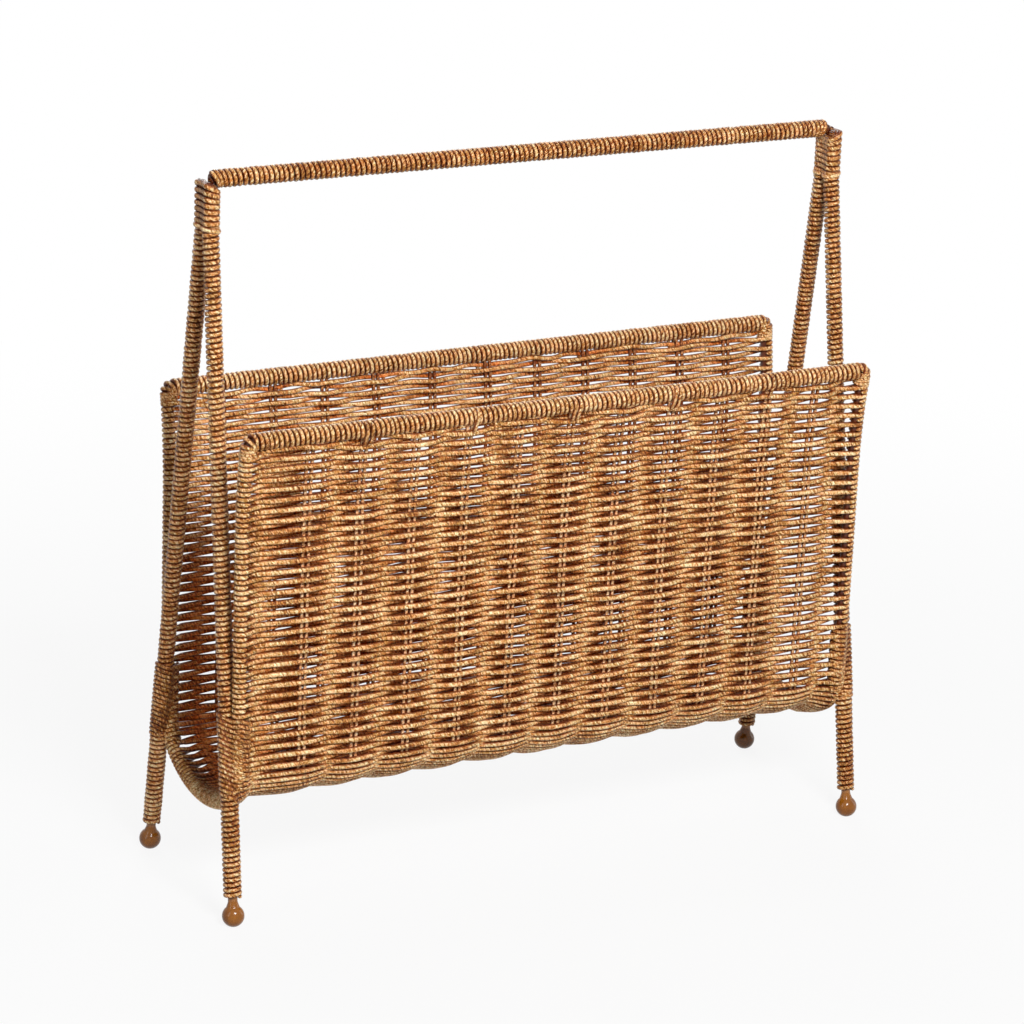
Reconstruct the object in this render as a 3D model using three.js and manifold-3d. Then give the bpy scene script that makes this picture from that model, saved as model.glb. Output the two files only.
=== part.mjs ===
// Magazine basket: a steel rod frame wrapped in twisted cord, with an A-shaped end at each side,
// a carrying handle between the tops of the ends, and a woven trough that is open at both ends.
// Millimetres. X runs along the handle, -Y is the front, +Z is up and the floor is z = 0.
import * as THREE from 'three';
import { mergeVertices } from 'three/addons/utils/BufferGeometryUtils.js';
import Module from 'manifold-3d';

const wasm = await Module();
wasm.setup();

// Fit between neighbouring pieces
const fitGap = 0.3;

// Steel rods and the cord round them
const rodDiameter = 5.5;
const cordDiameter = 2.5;

// Handle, between the axes of the two ends
const handleLength = 400;
const handleHeight = 417;
const handleWrapDiameter = 10.9;

// Legs: upright and bound in pairs at the top, then straight out to the feet. The feet stand a
// little further out than the handle's ends.
const boundRodSpacing = 9.6;
const boundLength = 27;
const bindingTurns = 7;
const footSplay = 4.8;
const footSpacing = 120;
const legWrapDiameter = 9.8;
const shinWrapDiameter = 11;
const wrapEndHeight = 15;

// Ball feet
const ballDiameter = 12.8;
const ballHeight = 5.8;

// Trough frame: a U-shaped hoop beside each pair of legs, and a straight rim along the front and
// the back
const legToHoopGap = 0.5;
const hoopWrapDiameter = 9;
const crossingWrapDiameter = 9.5;
const rimHeight = 283;
const rimWrapDiameter = 10;

// Trough section, seen along X: flared top, upright wall, corner arc and shallow bottom arc
const wallSpacing = 100;
const flareRadius = 336;
const flareHeight = 61;
const cornerRadius = 25;
const bottomRadius = 72;
const bottomHeight = 56.5;

// Weave: stakes that follow the section, between an outer and an inner layer of weft
const stakeCount = 11;
const firstStakeInset = 37.8;
const lastStakeInset = 31.2;
const stakeWidth = 5.2;
const stakeThickness = 1.8;
const weftThickness = 2.8;

// Plain openings through the two upright walls, in columns between the stakes
const openingRows = 4;
const opening_width_share = 0.66;
const opening_height_share = 0.2;

// Facets
const rodSides = 10;
const wrapSides = 10;
const cordSides = 6;
const loopSteps = 24;
const flareSteps = 3;
const cornerSteps = 4;
const bottomSteps = 6;
const elbowSteps = 4;
const bandSides = 12;
const ballSides = 12;
const ballSteps = 5;

// How far the paired part of a crossing binding reaches below the wall's lower end
const crossing_low_share = 0.35;
// Rounding at the top of a corner cap
const cap_round_shares = [1, 0.85, 0.5];

const rodRadius = rodDiameter / 2;
const boreRadius = rodRadius + fitGap;
const cordRadius = cordDiameter / 2;
const handleWrapRadius = handleWrapDiameter / 2;
const legWrapRadius = legWrapDiameter / 2;
const shinWrapRadius = shinWrapDiameter / 2;
const ballRadius = ballDiameter / 2;
const hoopWrapRadius = hoopWrapDiameter / 2;
const crossingRadius = crossingWrapDiameter / 2;
const rimWrapRadius = rimWrapDiameter / 2;

const endX = handleLength / 2;
const crossShare = (wallSpacing - boundRodSpacing) / (footSpacing - boundRodSpacing);
const hoopX = endX + footSplay * crossShare - rodDiameter - legToHoopGap;
const kneeHeight = handleHeight - boundLength;
const rimBend = rimWrapRadius + fitGap;
const weaveEndX = hoopX - rimBend;

const SIDES_X = [['left', -1], ['right', 1]];
const SIDES_Y = [['front', -1], ['back', 1]];

// A path with a ring of the tube at each of its points, and at no other place. Its directions at
// the points are those given, or else run from the point before to the point after.
class PointPath extends THREE.Curve {
  constructor(points, directions = null) {
    super();
    this.points = points;
    this.directions = directions;
  }

  getPoint(share, target = new THREE.Vector3()) {
    const place = share * (this.points.length - 1);
    const before = Math.min(Math.floor(place), this.points.length - 2);
    return target.lerpVectors(this.points[before], this.points[before + 1], place - before);
  }

  getPointAt(share, target) {
    return this.getPoint(share, target);
  }

  getTangent(share, target = new THREE.Vector3()) {
    const last = this.points.length - 1;
    const nearest = Math.round(share * last);
    if (this.directions) return target.copy(this.directions[nearest]);
    const ahead = this.points[Math.min(nearest + 1, last)];
    const behind = this.points[Math.max(nearest - 1, 0)];
    return target.subVectors(ahead, behind).normalize();
  }

  getTangentAt(share, target) {
    return this.getTangent(share, target);
  }
}

function circlePoints(radius, sides) {
  return Array.from({ length: sides }, (_, i) => {
    const angle = (2 * Math.PI * i) / sides;
    return new THREE.Vector2(radius * Math.cos(angle), radius * Math.sin(angle));
  });
}

// A round tube along a path, solid or with a bore along all of it.
function tube(path, radius, sides, bore = 0) {
  const section = new THREE.Shape(circlePoints(radius, sides));
  if (bore > 0) section.holes.push(new THREE.Path(circlePoints(bore, sides)));
  return new THREE.ExtrudeGeometry(section, {
    extrudePath: path,
    steps: path.points.length - 1,
  });
}

// A closed body through level rings, which all have as many points.
function loft(rings) {
  const sides = rings[0].length;
  const vertices = rings.flat();
  const triangles = [];
  for (let level = 0; level < rings.length - 1; level += 1) {
    for (let i = 0; i < sides; i += 1) {
      const next = (i + 1) % sides;
      const low = level * sides;
      const high = low + sides;
      triangles.push(low + i, low + next, high + next);
      triangles.push(low + i, high + next, high + i);
    }
  }
  const top = (rings.length - 1) * sides;
  for (let i = 1; i < sides - 1; i += 1) {
    triangles.push(0, i + 1, i);
    triangles.push(top, top + i, top + i + 1);
  }
  const geometry = new THREE.BufferGeometry().setFromPoints(vertices);
  geometry.setIndex(triangles);
  return geometry;
}

// The level outline of a band drawn tight round two upright circles.
function bandRing(centres, radius, height, sides) {
  return Array.from({ length: sides }, (_, i) => {
    const angle = (2 * Math.PI * (i + 0.5)) / sides;
    const out = new THREE.Vector2(Math.cos(angle), Math.sin(angle));
    const outermost = centres[0].dot(out) > centres[1].dot(out) ? centres[0] : centres[1];
    return new THREE.Vector3(outermost.x + radius * out.x, outermost.y + radius * out.y, height);
  });
}

// Closed geometry as a solid that can be joined and cut.
function toSolid(geometry) {
  const plain = geometry.clone();
  plain.deleteAttribute('normal');
  plain.deleteAttribute('uv');
  const merged = mergeVertices(plain);
  return new wasm.Manifold(new wasm.Mesh({
    numProp: 3,
    vertProperties: Float32Array.from(merged.attributes.position.array),
    triVerts: Uint32Array.from(merged.index.array),
  }));
}

function toGeometry(solid) {
  const mesh = solid.getMesh();
  const geometry = new THREE.BufferGeometry();
  geometry.setAttribute('position', new THREE.BufferAttribute(mesh.vertProperties, 3));
  geometry.setIndex(new THREE.BufferAttribute(mesh.triVerts, 1));
  return geometry;
}

// Trough section
const wallHalf = wallSpacing / 2;
const wallTop = rimHeight - flareHeight;
const bottomCentreZ = bottomHeight + bottomRadius;
const cornerCentreY = wallHalf - cornerRadius;
const cornerCentreZ = bottomCentreZ - Math.sqrt((bottomRadius - cornerRadius) ** 2 - cornerCentreY ** 2);
const bottomAngle = Math.asin(cornerCentreY / (bottomRadius - cornerRadius));
const flareRun = flareRadius * Math.asin(flareHeight / flareRadius);
const wallRun = wallTop - cornerCentreZ;
const cornerRun = cornerRadius * (Math.PI / 2 - bottomAngle);
const cornerStart = flareRun + wallRun;
const bottomStart = cornerStart + cornerRun;
const halfRun = bottomStart + bottomRadius * bottomAngle;
const fullRun = 2 * halfRun;

// The (y, z) place at a run along the section from the front rim's axis, moved out by offset.
function sectionPlace(run, offset = 0) {
  const isBack = run > halfRun;
  const down = isBack ? fullRun - run : run;
  const place = new THREE.Vector2();
  if (down < flareRun) {
    const angle = (flareRun - down) / flareRadius;
    const radius = flareRadius - offset;
    place.set(wallHalf + flareRadius - radius * Math.cos(angle), wallTop + radius * Math.sin(angle));
  } else if (down < cornerStart) {
    place.set(wallHalf + offset, wallTop - (down - flareRun));
  } else if (down < bottomStart) {
    const angle = (down - cornerStart) / cornerRadius;
    const radius = cornerRadius + offset;
    place.set(cornerCentreY + radius * Math.cos(angle), cornerCentreZ - radius * Math.sin(angle));
  } else {
    const angle = bottomAngle - (down - bottomStart) / bottomRadius;
    const radius = bottomRadius + offset;
    place.set(radius * Math.sin(angle), bottomCentreZ - radius * Math.cos(angle));
  }
  if (!isBack) place.x = -place.x;
  return place;
}

// The runs at which the section has a facet edge, from the front rim to the back rim.
function facetRuns() {
  const half = [];
  for (let i = 0; i < flareSteps; i += 1) half.push((flareRun * i) / flareSteps);
  half.push(flareRun);
  for (let i = 0; i < cornerSteps; i += 1) half.push(cornerStart + (cornerRun * i) / cornerSteps);
  for (let i = 0; i < bottomSteps / 2; i += 1) {
    half.push(bottomStart + ((halfRun - bottomStart) * i) / (bottomSteps / 2));
  }
  return [...half, halfRun, ...half.map((run) => fullRun - run).reverse()];
}

function runsBetween(from, to) {
  return [from, ...facetRuns().filter((run) => run > from + fitGap && run < to - fitGap), to];
}

function sectionDirection(run) {
  const way = sectionPlace(run + fitGap).sub(sectionPlace(run - fitGap)).normalize();
  return new THREE.Vector3(0, way.x, way.y);
}

// The section's middle line between two runs, at one x.
function sectionPath(x, from, to) {
  const runs = runsBetween(from, to);
  const points = runs.map((run) => {
    const middle = sectionPlace(run);
    return new THREE.Vector3(x, middle.x, middle.y);
  });
  return new PointPath(points, runs.map(sectionDirection));
}

// Leg axes
const legKnee = new THREE.Vector3(endX, boundRodSpacing / 2, kneeHeight);
const legFoot = new THREE.Vector3(endX + footSplay, footSpacing / 2, ballHeight);
const legSlope = (legFoot.y - legKnee.y) / (legKnee.z - legFoot.z);

function legPlace(sideX, sideY, height) {
  const share = (kneeHeight - height) / (kneeHeight - ballHeight);
  const place = new THREE.Vector3().lerpVectors(legKnee, legFoot, share);
  return new THREE.Vector3(sideX * place.x, sideY * place.y, height);
}

// Heights along a leg, from the rest of the frame round it
const legCrossX = legPlace(1, 1, cornerCentreZ).x;
const sideStep = legCrossX - hoopX;
const endTilt = legWrapRadius * legSlope;

// Above this height a leg's wrap is clear of the hoop's wrap beside it.
function crossingTop() {
  const reach = Math.sqrt((legWrapRadius + crossingRadius + 2 * fitGap) ** 2 - sideStep ** 2);
  return kneeHeight - (wallHalf - reach - legKnee.y) / legSlope;
}

// Below this height the lower leg's wrap is clear of the corner of the hoop.
function crossingBottom() {
  const reach = Math.sqrt((shinWrapRadius + crossingRadius + 2 * fitGap) ** 2 - sideStep ** 2);
  const start = new THREE.Vector2(legPlace(1, 1, cornerCentreZ).y - cornerCentreY, 0);
  const along = new THREE.Vector2(legSlope, -1).normalize();
  const middle = start.dot(along);
  const travel = Math.sqrt(middle ** 2 - start.lengthSq() + (cornerRadius + reach) ** 2) - middle;
  return cornerCentreZ + travel * along.y;
}

const crossTop = crossingTop();
const crossBottom = crossingBottom();
const crossFork = cornerCentreZ - crossing_low_share * cornerRadius;
// The two wraps of a pair of legs begin where they no longer touch each other.
const pairClear = kneeHeight - (legWrapRadius + fitGap - legKnee.y) / legSlope;
const legWrapTop = pairClear - endTilt;

// Handle
function handlePath(reach) {
  return new PointPath([
    new THREE.Vector3(-reach, 0, handleHeight),
    new THREE.Vector3(reach, 0, handleHeight),
  ]);
}

function handleRod() {
  return tube(handlePath(endX - rodRadius), rodRadius, rodSides);
}

const bandRadius = boreRadius + cordDiameter;

function handleWrap() {
  return tube(handlePath(endX - bandRadius - fitGap), handleWrapRadius, wrapSides, boreRadius);
}

// Legs
const legTop = handleHeight - rodRadius;

function legPath(sideX, sideY) {
  return new PointPath([
    new THREE.Vector3(sideX * legKnee.x, sideY * legKnee.y, legTop),
    new THREE.Vector3(sideX * legKnee.x, sideY * legKnee.y, kneeHeight),
    legPlace(sideX, sideY, ballHeight),
  ]);
}

// The straight part of a leg's axis between two heights.
function shankPath(sideX, sideY, high, low) {
  return new PointPath([legPlace(sideX, sideY, high), legPlace(sideX, sideY, low)]);
}

function legWrap(sideX, sideY) {
  const path = shankPath(sideX, sideY, legWrapTop, crossTop + endTilt + fitGap);
  return tube(path, legWrapRadius, wrapSides, boreRadius);
}

function shinWrap(sideX, sideY) {
  const top = crossBottom - shinWrapRadius * legSlope - fitGap;
  return tube(shankPath(sideX, sideY, top, wrapEndHeight), shinWrapRadius, wrapSides, boreRadius);
}

// A ball with a flat underside and a tilted socket for the leg's end.
function ballFoot(sideX, sideY) {
  const flatRadius = Math.sqrt(ballRadius ** 2 - ballHeight ** 2);
  const lowest = -Math.asin(ballHeight / ballRadius);
  const profile = [new THREE.Vector2(0, 0), new THREE.Vector2(flatRadius, 0)];
  for (let i = 1; i < ballSteps; i += 1) {
    const angle = lowest + ((Math.PI / 2 - lowest) * i) / ballSteps;
    profile.push(new THREE.Vector2(ballRadius * Math.cos(angle), ballHeight + ballRadius * Math.sin(angle)));
  }
  profile.push(new THREE.Vector2(0, ballHeight + ballRadius));
  const ball = new THREE.LatheGeometry(profile, ballSides);
  ball.rotateX(Math.PI / 2);
  ball.translate(sideX * legFoot.x, sideY * legFoot.y, 0);
  const socket = tube(shankPath(sideX, sideY, wrapEndHeight, ballHeight - fitGap), boreRadius, rodSides);
  return toGeometry(toSolid(ball).subtract(toSolid(socket)));
}

// Winding round the two bound rods: one unbroken cord, with its ends along the flat sides.
const windingFloor = kneeHeight + cordRadius;
const windingCeiling = handleHeight - boreRadius - cordRadius;
const windingPitch = (windingCeiling - windingFloor) / bindingTurns;
const loopRadius = boreRadius + cordRadius;
const flatLength = boundRodSpacing;
const turnLength = Math.PI * loopRadius;
const loopLength = 2 * (flatLength + turnLength);

// The level place at a distance round one loop, from the middle of its outer flat side.
function loopPlace(distance) {
  const half = flatLength / 2;
  if (distance < half) return [loopRadius, distance];
  if (distance < half + turnLength) {
    const angle = (distance - half) / loopRadius;
    return [loopRadius * Math.cos(angle), half + loopRadius * Math.sin(angle)];
  }
  if (distance < half + turnLength + flatLength) return [-loopRadius, half - (distance - half - turnLength)];
  if (distance < loopLength - half) {
    const angle = (distance - 3 * half - turnLength) / loopRadius;
    return [-loopRadius * Math.cos(angle), -half - loopRadius * Math.sin(angle)];
  }
  return [loopRadius, distance - loopLength];
}

function windingPoints(sideX, stepsPerLoop) {
  const count = bindingTurns * stepsPerLoop;
  return Array.from({ length: count + 1 }, (_, i) => {
    const [x, y] = loopPlace(((i % stepsPerLoop) / stepsPerLoop) * loopLength);
    return new THREE.Vector3(sideX * (endX + x), y, windingFloor + (windingPitch * i) / stepsPerLoop);
  });
}

function winding(sideX) {
  return tube(new PointPath(windingPoints(sideX, loopSteps)), cordRadius, cordSides);
}

// The least gap between two turns, on points three times as fine as the facets.
function leastWindingGap() {
  const stepsPerLoop = 3 * loopSteps;
  const points = windingPoints(1, stepsPerLoop);
  let least = Infinity;
  for (let i = 0; i < points.length; i += 1) {
    for (let j = i + stepsPerLoop / 2; j < points.length; j += 1) {
      least = Math.min(least, points[i].distanceTo(points[j]) - cordDiameter);
    }
  }
  return least;
}

console.log(`least gap between turns of a winding: ${leastWindingGap().toFixed(2)} mm`);

// Cap of cord over the tops of a pair of legs and the end of the handle
function cornerCap(sideX) {
  const centres = [-1, 1].map((sideY) => new THREE.Vector2(sideX * endX, (sideY * boundRodSpacing) / 2));
  const low = windingCeiling + cordRadius + fitGap;
  const high = handleHeight + handleWrapRadius;
  const rings = [bandRing(centres, bandRadius, low, bandSides)];
  cap_round_shares.forEach((share, i) => {
    const level = high - ((cap_round_shares.length - 1 - i) * cordRadius) / 2;
    rings.push(bandRing(centres, bandRadius - (1 - share) * cordDiameter, level, bandSides));
  });
  let cap = toSolid(loft(rings));
  for (const { x, y } of centres) {
    const socket = new PointPath([
      new THREE.Vector3(x, y, legTop + fitGap),
      new THREE.Vector3(x, y, kneeHeight),
    ]);
    cap = cap.subtract(toSolid(tube(socket, boreRadius, rodSides)));
  }
  const notch = new PointPath([
    new THREE.Vector3(sideX * endX, 0, handleHeight),
    new THREE.Vector3(0, 0, handleHeight),
  ]);
  return toGeometry(cap.subtract(toSolid(tube(notch, boreRadius, rodSides))));
}

// Hoops
function hoopRod(sideX) {
  const start = rimBend + fitGap;
  return tube(sectionPath(sideX * hoopX, start, fullRun - start), rodRadius, rodSides);
}

function hoopWallWrap(sideX, isBack) {
  const from = rimBend + fitGap;
  const to = flareRun + (wallTop - crossTop) - fitGap;
  const path = isBack
    ? sectionPath(sideX * hoopX, fullRun - to, fullRun - from)
    : sectionPath(sideX * hoopX, from, to);
  return tube(path, hoopWrapRadius, wrapSides, boreRadius);
}

function hoopBottomWrap(sideX) {
  const from = bottomStart + fitGap;
  return tube(sectionPath(sideX * hoopX, from, fullRun - from), hoopWrapRadius, wrapSides, boreRadius);
}

// Binding round a leg and the hoop that it crosses. It forks below, along each of them.
function crossingBinding(sideX, sideY) {
  const hoopAt = (height) => {
    const drop = Math.max(0, cornerCentreZ - height);
    const y = cornerCentreY + Math.sqrt(cornerRadius ** 2 - drop ** 2);
    return new THREE.Vector2(sideX * hoopX, sideY * y);
  };
  const rings = [crossFork, cornerCentreZ, (cornerCentreZ + crossTop) / 2, crossTop].map((height) => {
    const leg = legPlace(sideX, sideY, height);
    return bandRing([new THREE.Vector2(leg.x, leg.y), hoopAt(height)], crossingRadius, height, bandSides);
  });
  const forkRun = cornerStart + cornerRadius * Math.asin(crossing_low_share);
  const alongHoop = (from, to) => (sideY < 0
    ? sectionPath(sideX * hoopX, from, to)
    : sectionPath(sideX * hoopX, fullRun - to, fullRun - from));
  const legBranch = shankPath(sideX, sideY, cornerCentreZ, crossBottom);
  const legBore = shankPath(sideX, sideY, crossTop + legWrapRadius, wrapEndHeight);
  return toGeometry(
    toSolid(loft(rings))
      .add(toSolid(tube(legBranch, crossingRadius, wrapSides)))
      .add(toSolid(tube(alongHoop(forkRun - cordDiameter, bottomStart), crossingRadius, wrapSides)))
      .subtract(toSolid(tube(legBore, boreRadius, rodSides)))
      .subtract(toSolid(tube(alongHoop(flareRun, halfRun), boreRadius, rodSides))),
  );
}

// Rims: straight along the top of a wall and bent down at both ends to meet the hoops.
function rimPath(isBack) {
  const top = sectionPlace(isBack ? fullRun : 0);
  const below = sectionPlace(isBack ? fullRun - rimBend : rimBend);
  const down = new THREE.Vector3(0, below.x - top.x, below.y - top.y).normalize();
  const points = [];
  const directions = [];
  for (const [, sideX] of SIDES_X) {
    const across = new THREE.Vector3(sideX, 0, 0);
    const centre = new THREE.Vector3(sideX * (hoopX - rimBend), top.x, top.y).addScaledVector(down, rimBend);
    for (let i = 0; i <= elbowSteps; i += 1) {
      const step = sideX < 0 ? i : elbowSteps - i;
      const angle = (Math.PI / 2) * (step / elbowSteps);
      const out = across.clone().multiplyScalar(Math.cos(angle)).addScaledVector(down, -Math.sin(angle));
      const way = new THREE.Vector3(Math.sin(angle), 0, 0);
      points.push(centre.clone().addScaledVector(out, rimBend));
      directions.push(way.addScaledVector(down, sideX * Math.cos(angle)));
    }
  }
  return new PointPath(points, directions);
}

// Stakes and weft layers
const layerInside = stakeThickness / 2 + fitGap;
const layerOutside = layerInside + weftThickness;

// A layer of weft between two runs, as a bent plate that spans the trough's length.
function weftLayer(from, to, offsetA, offsetB) {
  const runs = runsBetween(from, to);
  const near = runs.map((run) => sectionPlace(run, offsetA));
  const far = runs.map((run) => sectionPlace(run, offsetB)).reverse();
  const plate = new THREE.ExtrudeGeometry(new THREE.Shape([...near, ...far]), {
    depth: 2 * weaveEndX,
    bevelEnabled: false,
  });
  plate.translate(0, 0, -weaveEndX);
  return plate;
}

const firstStakeX = -hoopX + firstStakeInset;
const lastStakeX = hoopX - lastStakeInset;
const stakeXs = Array.from({ length: stakeCount }, (_, i) => {
  return firstStakeX + ((lastStakeX - firstStakeX) * i) / (stakeCount - 1);
});

// A layer of an upright wall, with openings level through it in rows and columns.
function openLayer(isBack, from, to, offsetA, offsetB) {
  const low = cornerCentreZ;
  const rowPitch = (rimHeight - rimBend - low) / openingRows;
  const reach = cornerRadius;
  const lefts = [-weaveEndX, ...stakeXs.map((x) => x + stakeWidth / 2)];
  const rights = [...stakeXs.map((x) => x - stakeWidth / 2), weaveEndX];
  let layer = toSolid(weftLayer(from, to, offsetA, offsetB));
  for (let row = 0; row < openingRows; row += 1) {
    lefts.forEach((left, i) => {
      const width = opening_width_share * (rights[i] - left);
      const box = new THREE.BoxGeometry(2 * reach, opening_height_share * rowPitch, width);
      box.translate(isBack ? wallHalf : -wallHalf, low + (row + 0.5) * rowPitch, (left + rights[i]) / 2);
      layer = layer.subtract(toSolid(box));
    });
  }
  return toGeometry(layer);
}

function stake() {
  const runs = runsBetween(rimBend, fullRun - rimBend);
  const inner = runs.map((run) => sectionPlace(run, -stakeThickness / 2));
  const outer = runs.map((run) => sectionPlace(run, stakeThickness / 2)).reverse();
  const strip = new THREE.ExtrudeGeometry(new THREE.Shape([...inner, ...outer]), {
    depth: stakeWidth,
    bevelEnabled: false,
  });
  strip.translate(0, 0, -stakeWidth / 2);
  return strip;
}

// Assembly
const basket = new THREE.Group();

const FINISHES = {
  rod: { color: 0x9a6230, roughness: 0.45, metalness: 0.1 },
  cord: { color: 0xc08a4c, roughness: 0.7, metalness: 0 },
  binding: { color: 0xc6914f, roughness: 0.7, metalness: 0 },
  weft: { color: 0xbd8442, roughness: 0.75, metalness: 0 },
  stake: { color: 0x7a4524, roughness: 0.75, metalness: 0 },
  ball: { color: 0x96602c, roughness: 0.2, metalness: 0 },
};

function place(name, geometry, finish) {
  const mesh = new THREE.Mesh(geometry, new THREE.MeshStandardMaterial(FINISHES[finish]));
  mesh.name = name;
  basket.add(mesh);
  return mesh;
}

// A plate that was drawn in (y, z) and extruded along x.
function placeAcross(name, geometry, finish, x) {
  const mesh = place(name, geometry, finish);
  mesh.rotation.set(Math.PI / 2, 0, Math.PI / 2, 'ZYX');
  mesh.position.x = x;
}

place('handle_rod', handleRod(), 'rod');
place('handle_wrap', handleWrap(), 'cord');

for (const [nameX, sideX] of SIDES_X) {
  place(`${nameX}_corner_cap`, cornerCap(sideX), 'binding');
  place(`${nameX}_top_winding`, winding(sideX), 'binding');
  place(`${nameX}_hoop_rod`, hoopRod(sideX), 'rod');
  place(`${nameX}_hoop_bottom_wrap`, hoopBottomWrap(sideX), 'cord');
  for (const [nameY, sideY] of SIDES_Y) {
    const corner = `${nameY}_${nameX}`;
    place(`${corner}_leg_rod`, tube(legPath(sideX, sideY), rodRadius, rodSides), 'rod');
    place(`${corner}_leg_wrap`, legWrap(sideX, sideY), 'cord');
    place(`${corner}_shin_wrap`, shinWrap(sideX, sideY), 'cord');
    place(`${corner}_ball_foot`, ballFoot(sideX, sideY), 'ball');
    place(`${corner}_crossing_binding`, crossingBinding(sideX, sideY), 'binding');
    place(`${corner}_hoop_wrap`, hoopWallWrap(sideX, sideY > 0), 'cord');
  }
}

for (const [nameY, sideY] of SIDES_Y) {
  const path = rimPath(sideY > 0);
  place(`${nameY}_rim_rod`, tube(path, rodRadius, rodSides), 'rod');
  place(`${nameY}_rim_wrap`, tube(path, rimWrapRadius, wrapSides, boreRadius), 'cord');
}

const seam = fitGap / 2;
const wallEnd = cornerStart - seam;
const bottomFrom = cornerStart + seam;
const LAYERS = [['outer', layerInside, layerOutside], ['inner', -layerOutside, -layerInside]];
for (const [name, a, b] of LAYERS) {
  placeAcross(`front_weave_${name}`, openLayer(false, rimBend, wallEnd, a, b), 'weft', 0);
  placeAcross(`bottom_weave_${name}`, weftLayer(bottomFrom, fullRun - bottomFrom, a, b), 'weft', 0);
  placeAcross(`back_weave_${name}`, openLayer(true, fullRun - wallEnd, fullRun - rimBend, a, b), 'weft', 0);
}

stakeXs.forEach((x, i) => {
  placeAcross(`stake_${String(i + 1).padStart(2, '0')}`, stake(), 'stake', x);
});

export default basket;
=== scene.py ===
# Looks of the magazine basket. Every cord is a strand of its own on its own path, and its material adds
# the twist of its two plies. Lengths are in millimetres until a mesh is made. A run is a length along
# the section of the trough, from the front rim round the bottom to the back rim.
import math

import bpy
import numpy as np
from mathutils import Matrix, Vector


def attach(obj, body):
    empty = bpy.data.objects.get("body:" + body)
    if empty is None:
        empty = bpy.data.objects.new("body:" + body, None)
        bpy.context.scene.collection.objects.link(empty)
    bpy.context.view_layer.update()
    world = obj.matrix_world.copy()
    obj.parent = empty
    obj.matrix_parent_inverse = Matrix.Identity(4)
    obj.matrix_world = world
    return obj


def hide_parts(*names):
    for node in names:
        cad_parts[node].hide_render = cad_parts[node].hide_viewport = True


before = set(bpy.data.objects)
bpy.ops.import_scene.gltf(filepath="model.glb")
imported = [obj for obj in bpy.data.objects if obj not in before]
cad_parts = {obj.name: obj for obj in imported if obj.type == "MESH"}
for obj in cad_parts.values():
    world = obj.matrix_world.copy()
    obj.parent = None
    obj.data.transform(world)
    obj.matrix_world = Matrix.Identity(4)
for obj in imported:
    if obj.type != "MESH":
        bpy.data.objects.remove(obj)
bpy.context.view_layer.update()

MM = 0.001
LINE_POINTS = 60
SIDES_X = (("left", -1), ("right", 1))
SIDES_Y = (("front", -1), ("back", 1))
rng = np.random.default_rng(11)

# Sizes shared with the solid model
ROD_R = 2.75
END_X = 200.0
HANDLE_Z = 417.0
PAIR_Y = 4.8
KNEE_Z = 390.0
FOOT_X, FOOT_Y, FOOT_Z = 204.8, 60.0, 5.8
BALL_R = 6.4
RIM_Z = 283.0
WALL_Y = 50.0
FLARE_R, FLARE_Z = 336.0, 61.0
CORNER_R = 25.0
BOTTOM_R, BOTTOM_Z = 72.0, 56.5
LEG_GAP = 0.5
STAKES = 11
FIRST_STAKE_INSET, LAST_STAKE_INSET = 37.8, 31.2
BIND_TOP, BIND_LOW = 122.0, 74.0

# Places that follow from them
HOOP_X = END_X + (FOOT_X - END_X) * (WALL_Y - PAIR_Y) / (FOOT_Y - PAIR_Y) - 2 * ROD_R - LEG_GAP
STAKE_X = np.linspace(-HOOP_X + FIRST_STAKE_INSET, HOOP_X - LAST_STAKE_INSET, STAKES)
WALL_TOP = RIM_Z - FLARE_Z
CORNER_Y = WALL_Y - CORNER_R
BOTTOM_C = BOTTOM_Z + BOTTOM_R
CORNER_Z = BOTTOM_C - math.sqrt((BOTTOM_R - CORNER_R) ** 2 - CORNER_Y ** 2)
BOTTOM_A = math.asin(CORNER_Y / (BOTTOM_R - CORNER_R))
FLARE_RUN = FLARE_R * math.asin(FLARE_Z / FLARE_R)
CORNER_RUN = FLARE_RUN + WALL_TOP - CORNER_Z
BOTTOM_RUN = CORNER_RUN + CORNER_R * (math.pi / 2 - BOTTOM_A)
HALF_RUN = BOTTOM_RUN + BOTTOM_R * BOTTOM_A
FULL_RUN = 2 * HALF_RUN


def section(run, off):
    """(y, z) and the outward (y, z) direction at a run along the trough, moved out by off."""
    run, off = np.broadcast_arrays(np.asarray(run, float), np.asarray(off, float))
    side = np.where(run > HALF_RUN, 1.0, -1.0)
    down = np.where(run > HALF_RUN, FULL_RUN - run, run)
    flare = (FLARE_RUN - down) / FLARE_R
    corner = (down - CORNER_RUN) / CORNER_R
    bottom = BOTTOM_A - (down - BOTTOM_RUN) / BOTTOM_R
    one = np.ones_like(down)
    parts = [down < FLARE_RUN, down < CORNER_RUN, down < BOTTOM_RUN, one > 0]
    ny = np.select(parts, [np.cos(flare), one, np.cos(corner), np.sin(bottom)])
    nz = np.select(parts, [-np.sin(flare), 0 * one, -np.sin(corner), -np.cos(bottom)])
    y = np.select(parts, [WALL_Y + FLARE_R * (1 - np.cos(flare)), WALL_Y * one,
                          CORNER_Y + CORNER_R * np.cos(corner), BOTTOM_R * np.sin(bottom)])
    z = np.select(parts, [WALL_TOP + FLARE_R * np.sin(flare), WALL_TOP - (down - FLARE_RUN),
                          CORNER_Z - CORNER_R * np.sin(corner), BOTTOM_C - BOTTOM_R * np.cos(bottom)])
    return side * (y + off * ny), z + off * nz, side * ny, nz


def leg(sx, sy, z):
    """The axis of a leg at a height."""
    share = (KNEE_Z - z) / (KNEE_Z - FOOT_Z)
    return np.array([sx * (END_X + share * (FOOT_X - END_X)), sy * (PAIR_Y + share * (FOOT_Y - PAIR_Y)), z])


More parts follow.
